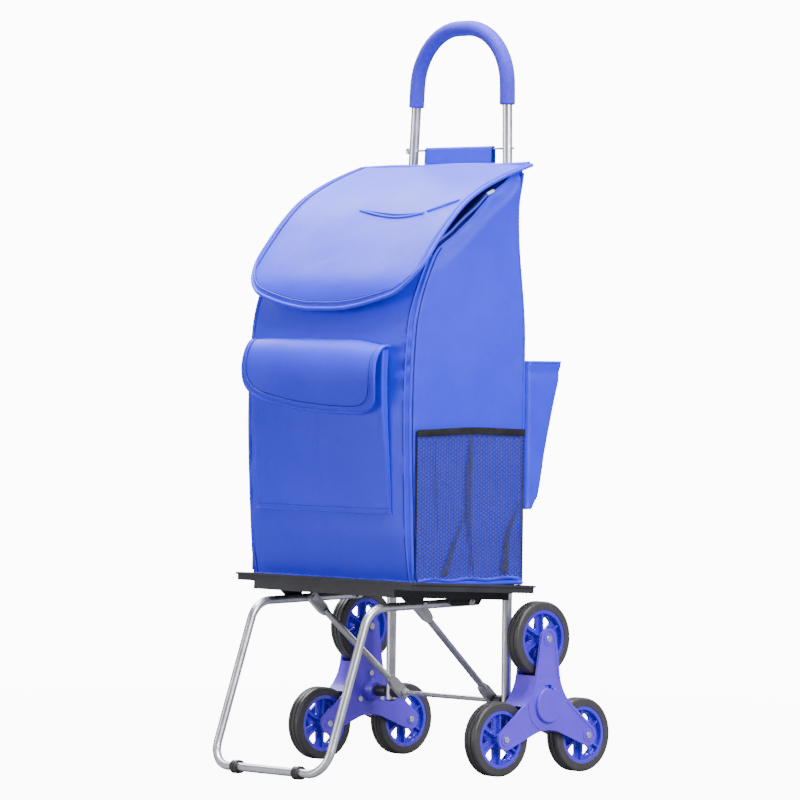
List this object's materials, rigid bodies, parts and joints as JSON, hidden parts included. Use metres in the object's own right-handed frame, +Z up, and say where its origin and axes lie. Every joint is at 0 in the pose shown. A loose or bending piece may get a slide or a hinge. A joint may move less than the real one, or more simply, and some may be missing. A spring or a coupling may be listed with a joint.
{
  "type": "folding shopping trolley",
  "caption": "Folding shopping trolley: fabric bag with lid and pockets on a hinged platform, U handle, folding front leg and stair-climbing wheel spiders.",
  "frame": {"origin": "on the floor under the middle of the trolley's bounding box", "axes": "+Z up, +X across to the side of the umbrella pocket, -Y to the front where the leg stands, +Y to the back where the handle stands"},
  "size_m": [0.4188, 0.4748, 1.05],
  "materials": {
    "satin_tube": "satin silver tube",
    "strut_steel": "satin silver",
    "bright_steel": "bright plated",
    "grip_foam": "soft matt foam sleeve",
    "black_plastic": "moulded black",
    "platform_plastic": "fine-textured black moulding",
    "black_steel": "black powder coat",
    "board_plastic": "smooth black sheet",
    "bag_fabric": "coated woven polyester, soft sheen",
    "mesh_net": "open hexagon net",
    "black_binding": "woven tape",
    "edge_tape": "folded tape",
    "cord_blue": "round braided cord",
    "foot_rubber": "matt",
    "spider_plastic": "satin moulding",
    "hub_plastic": "glossy moulding",
    "tyre_rubber": "matt grey-black"
  },
  "bodies": {
    "frame": {"handle_tube": "satin_tube", "handle_grip": "grip_foam", "tab_wire": "bright_steel", "tube_end_plugs": "black_plastic", "hinge_brackets": "black_steel", "bracket_rivets": "bright_steel", "main_axle": "bright_steel", "axle_spacers": "black_plastic", "axle_nuts": "bright_steel", "axle_retainers": "bright_steel", "bag_body": "bag_fabric", "base_board": "board_plastic", "front_pocket": "bag_fabric", "mesh_pocket_right": "mesh_net", "mesh_pocket_left": "mesh_net", "mesh_binding_right": "black_binding", "mesh_binding_left": "black_binding", "back_pocket": "bag_fabric", "back_pocket_cuff": "bag_fabric", "hanging_tab": "bag_fabric", "tube_loops": "bag_fabric", "drawcord": "cord_blue"},
    "platform": {"platform_deck": "platform_plastic", "hinge_pins": "bright_steel", "leg_bolts": "bright_steel", "leg_bolt_nuts": "bright_steel"},
    "front_leg": {"leg_loop": "satin_tube", "foot_clips": "foot_rubber", "strut_rivets": "bright_steel"},
    "struts": {"strut_right": "strut_steel", "strut_left": "strut_steel", "strut_rivet_heads": "bright_steel"},
    "lid": {"lid": "bag_fabric", "lid_binding": "edge_tape"},
    "pocket_flap": {"front_pocket_flap": "bag_fabric"},
    "spider_right": {"spider_shell_right": "spider_plastic", "spider_plate_right": "spider_plastic", "spider_bush_right": "black_plastic", "hub_cap_right": "spider_plastic", "wheel_pins_right": "bright_steel", "plate_screws_right": "bright_steel"},
    "wheel_right_top": {"tyre_right_top": "tyre_rubber", "wheel_hub_right_top": "hub_plastic"},
    "wheel_right_front": {"tyre_right_front": "tyre_rubber", "wheel_hub_right_front": "hub_plastic"},
    "wheel_right_rear": {"tyre_right_rear": "tyre_rubber", "wheel_hub_right_rear": "hub_plastic"},
    "spider_left": {"spider_shell_left": "spider_plastic", "spider_plate_left": "spider_plastic", "spider_bush_left": "black_plastic", "hub_cap_left": "spider_plastic", "wheel_pins_left": "bright_steel", "plate_screws_left": "bright_steel"},
    "wheel_left_top": {"tyre_left_top": "tyre_rubber", "wheel_hub_left_top": "hub_plastic"},
    "wheel_left_front": {"tyre_left_front": "tyre_rubber", "wheel_hub_left_front": "hub_plastic"},
    "wheel_left_rear": {"tyre_left_rear": "tyre_rubber", "wheel_hub_left_rear": "hub_plastic"}
  },
  "joints": [
    {"name": "platform_fold", "type": "hinge", "parent": "frame", "child": "platform", "pos_m": [0, 0.08501, 0.255], "axis": [-1, 0, 0], "range_deg": [0, 82], "deforming": ["bag_body", "base_board", "front_pocket", "mesh_pocket_right", "mesh_pocket_left", "mesh_binding_right", "mesh_binding_left", "drawcord"]},
    {"name": "leg_fold", "type": "hinge", "parent": "platform", "child": "front_leg", "pos_m": [0, 0.03061, 0.2375], "axis": [1, 0, 0], "range_deg": [0, 104.03]},
    {"name": "strut_swing", "type": "hinge", "parent": "frame", "child": "struts", "pos_m": [0, 0.10701, 0.09713], "axis": [-1, 0, 0], "range_deg": [0, 14.42]},
    {"name": "lid_hinge", "type": "hinge", "parent": "frame", "child": "lid", "pos_m": [0, 0.09301, 0.846], "axis": [-1, 0, 0], "range_deg": [0, 120]},
    {"name": "flap_hinge", "type": "hinge", "parent": "frame", "child": "pocket_flap", "pos_m": [0, -0.12599, 0.596], "axis": [-1, 0, 0], "range_deg": [0, 110]},
    {"name": "spider_spin_right", "type": "hinge", "parent": "frame", "child": "spider_right", "pos_m": [0.1831, 0.10701, 0.09713], "axis": [1, 0, 0], "continuous": true},
    {"name": "spider_spin_left", "type": "hinge", "parent": "frame", "child": "spider_left", "pos_m": [-0.1831, 0.10701, 0.09713], "axis": [1, 0, 0], "continuous": true},
    {"name": "wheel_spin_right_top", "type": "hinge", "parent": "spider_right", "child": "wheel_right_top", "pos_m": [0.1831, 0.10701, 0.18798], "axis": [1, 0, 0], "continuous": true},
    {"name": "wheel_spin_right_front", "type": "hinge", "parent": "spider_right", "child": "wheel_right_front", "pos_m": [0.1831, 0.02833, 0.0517], "axis": [1, 0, 0], "continuous": true},
    {"name": "wheel_spin_right_rear", "type": "hinge", "parent": "spider_right", "child": "wheel_right_rear", "pos_m": [0.1831, 0.18569, 0.0517], "axis": [1, 0, 0], "continuous": true},
    {"name": "wheel_spin_left_top", "type": "hinge", "parent": "spider_left", "child": "wheel_left_top", "pos_m": [-0.1831, 0.10701, 0.18798], "axis": [1, 0, 0], "continuous": true},
    {"name": "wheel_spin_left_front", "type": "hinge", "parent": "spider_left", "child": "wheel_left_front", "pos_m": [-0.1831, 0.02833, 0.0517], "axis": [1, 0, 0], "continuous": true},
    {"name": "wheel_spin_left_rear", "type": "hinge", "parent": "spider_left", "child": "wheel_left_rear", "pos_m": [-0.1831, 0.18569, 0.0517], "axis": [1, 0, 0], "continuous": true}
  ],
  "couplings": [
    {"joint": "leg_fold", "follows": "platform_fold", "ratio": 1.2626},
    {"joint": "strut_swing", "follows": "platform_fold", "ratio": 0.16972}
  ]
}
